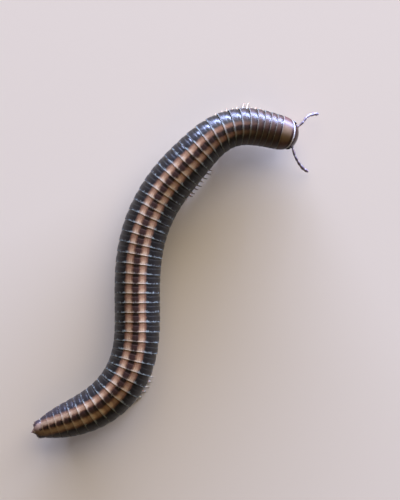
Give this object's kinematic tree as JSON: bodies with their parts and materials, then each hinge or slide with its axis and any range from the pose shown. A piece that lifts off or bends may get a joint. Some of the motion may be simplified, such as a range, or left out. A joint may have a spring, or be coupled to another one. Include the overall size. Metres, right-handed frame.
{
  "type": "striped millipede",
  "caption": "Long round-bodied millipede of overlapping dark rings with two pale bands along its back, resting on its feet in a gentle S.",
  "frame": {"origin": "on the floor, at the middle of the plan box of the whole animal", "axes": "+Z up; +Y along the longest extent of the resting animal, from the tail towards the head; +X to the right seen from above with +Y up"},
  "size_m": [0.0224, 0.0261, 0.0042],
  "materials": {
    "ring_cuticle": "dark olive-brown cuticle, waxy satin, with two beige-orange bands and pale rims",
    "collar_cuticle": "glossy olive-brown to red-brown cuticle",
    "head_cuticle": "glossy dark red-brown cuticle",
    "eye_lens": "black lenses, glossy",
    "antenna_cuticle": "grey-violet cuticle with fine hairs",
    "jaw_cuticle": "brown cuticle, satin",
    "tail_cuticle": "beige-brown cuticle with a red-brown edge, satin"
  },
  "bodies": {
    "root": {"head": "head_cuticle", "eye_left": "eye_lens", "eye_right": "eye_lens", "antenna_left": "antenna_cuticle", "antenna_right": "antenna_cuticle", "mandible_left": "jaw_cuticle", "mandible_right": "jaw_cuticle", "gnathochilarium": "jaw_cuticle", "collum": "collar_cuticle", "rings_02_05": "ring_cuticle", "rings_06_09": "ring_cuticle", "rings_10_13": "ring_cuticle", "rings_14_17": "ring_cuticle", "rings_18_21": "ring_cuticle", "rings_22_25": "ring_cuticle", "rings_26_29": "ring_cuticle", "rings_30_33": "ring_cuticle", "rings_34_37": "ring_cuticle", "rings_38_41": "ring_cuticle", "rings_42_45": "ring_cuticle", "rings_46_49": "ring_cuticle", "telson": "tail_cuticle", "anal_valve_left": "tail_cuticle", "anal_valve_right": "tail_cuticle"}
  },
  "joints": []
}
